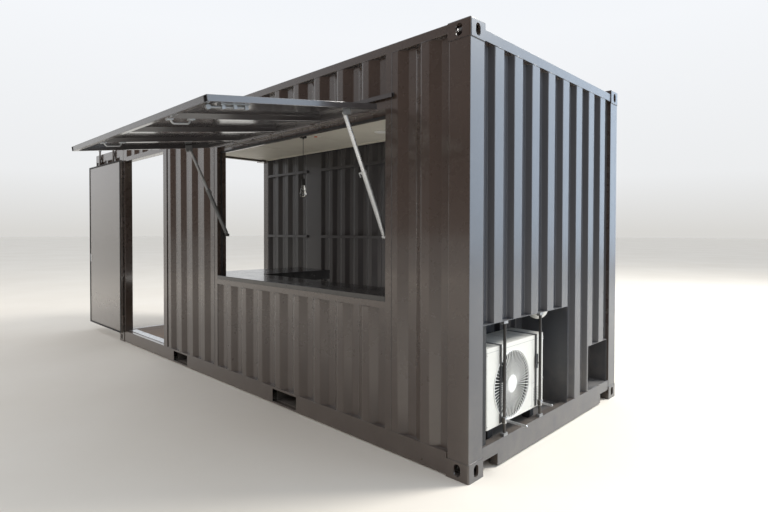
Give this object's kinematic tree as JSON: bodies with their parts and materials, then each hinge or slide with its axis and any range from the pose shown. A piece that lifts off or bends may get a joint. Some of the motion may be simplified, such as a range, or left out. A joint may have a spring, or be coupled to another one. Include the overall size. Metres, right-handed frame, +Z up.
{
  "type": "container shop",
  "caption": "Steel shipping container turned into a shop, with a lift-up serving hatch, a side shop door, cargo doors, a bench inside and a recessed cooling unit.",
  "frame": {"origin": "middle of the footprint, at the level of the bottom castings' lower faces", "axes": "+X along the length towards the end with the cooling unit, -Y out of the wall with the serving hatch, +Z up"},
  "size_m": [7.416, 3.8618, 2.896],
  "materials": {
    "container_paint": "dark charcoal brown, semi-gloss",
    "underframe_paint": "dark matt undercoat",
    "galvanised": "galvanised, dull",
    "plywood": "worn marine plywood",
    "ceiling_white": "off-white, matt",
    "recess_paint": "dark semi-gloss",
    "case_cream": "off-white powder coat",
    "grille_plastic": "light grey",
    "rubber_black": "matt",
    "strap_black": "woven strap",
    "white_plastic": "white, satin",
    "bench_black": "black, satin",
    "flex_black": "smooth flex",
    "lamp_clear": "clear"
  },
  "bodies": {
    "container": {"corner_castings": "container_paint", "end_posts": "container_paint", "rear_frame": "container_paint", "bottom_side_rails": "container_paint", "top_side_rails": "container_paint", "end_rails": "container_paint", "cross_members": "underframe_paint", "fork_tunnels": "underframe_paint", "floor": "plywood", "roof": "container_paint", "ceiling": "ceiling_white", "front_wall": "container_paint", "hatch_frame": "container_paint", "hatch_flashing": "container_paint", "shop_door_frame": "container_paint", "back_wall": "container_paint", "wall_rails": "container_paint", "end_wall_upper": "container_paint", "end_wall_lower": "container_paint", "condenser_recess": "recess_paint", "recess_back": "recess_paint", "inlet_recess": "recess_paint", "condenser_case": "case_cream", "condenser_grille": "grille_plastic", "condenser_feet": "rubber_black", "condenser_straps": "strap_black", "guard_bars": "galvanised", "recess_lamp": "white_plastic", "bench_top": "bench_black", "bench_legs": "bench_black", "pendant_rose": "rubber_black", "pendant_flex": "flex_black", "pendant_lamp": "lamp_clear", "ceiling_light": "white_plastic", "hatch_hinges": "galvanised", "door_hinge_lugs": "container_paint"},
    "hatch": {"flap_frame": "container_paint", "flap_skin": "container_paint", "flap_handles": "galvanised", "flap_bolts": "galvanised", "flap_lugs": "galvanised"},
    "stay_rod_right": {"stay_rod_right": "galvanised"},
    "stay_tube_right": {"stay_tube_right": "galvanised"},
    "stay_rod_left": {"stay_rod_left": "galvanised"},
    "stay_tube_left": {"stay_tube_left": "galvanised"},
    "shop_door": {"shop_door_leaf": "container_paint", "shop_door_rods": "container_paint", "shop_door_latch": "galvanised", "shop_door_straps": "container_paint"},
    "cargo_door_near": {"cargo_near_leaf": "container_paint", "cargo_near_rods": "container_paint", "cargo_near_blades": "container_paint"},
    "cargo_door_far": {"cargo_far_leaf": "container_paint", "cargo_far_rods": "container_paint", "cargo_far_blades": "container_paint"}
  },
  "joints": [
    {"name": "hatch", "type": "hinge", "parent": "container", "child": "hatch", "pos_m": [1.075, -1.222, 2.488], "axis": [1, 0, 0], "range_deg": [0, 82]},
    {"name": "stay_pivot_right", "type": "hinge", "parent": "hatch", "child": "stay_rod_right", "pos_m": [2.226, -1.53536, 2.37529], "axis": [1, 0, 0], "range_deg": [-105.92, 0]},
    {"name": "stay_slide_right", "type": "slide", "parent": "stay_rod_right", "child": "stay_tube_right", "axis": [0, -0.4257, 0.9048], "range_m": [0, 0.3017]},
    {"name": "stay_pivot_left", "type": "hinge", "parent": "hatch", "child": "stay_rod_left", "pos_m": [-0.076, -1.53536, 2.37529], "axis": [1, 0, 0], "range_deg": [-105.92, 0]},
    {"name": "stay_slide_left", "type": "slide", "parent": "stay_rod_left", "child": "stay_tube_left", "axis": [0, -0.4257, 0.9048], "range_m": [0, 0.3017]},
    {"name": "shop_door", "type": "hinge", "parent": "container", "child": "shop_door", "pos_m": [-2.846, -1.24, 1.35], "axis": [0, 0, 1], "range_deg": [0, 180]},
    {"name": "cargo_door_near", "type": "hinge", "parent": "container", "child": "cargo_door_near", "pos_m": [-3.016, -1.207, 1.45], "axis": [0, 0, -1], "range_deg": [0, 90]},
    {"name": "cargo_door_far", "type": "hinge", "parent": "container", "child": "cargo_door_far", "pos_m": [-3.016, 1.207, 1.45], "axis": [0, 0, 1], "range_deg": [0, 270]}
  ],
  "couplings": [
    {"joint": "stay_pivot_right", "follows": "hatch", "ratio": -1.2917},
    {"joint": "stay_slide_right", "follows": "hatch", "m_per_rad": 0.21067},
    {"joint": "stay_pivot_left", "follows": "hatch", "ratio": -1.2917},
    {"joint": "stay_slide_left", "follows": "hatch", "m_per_rad": 0.21067}
  ]
}
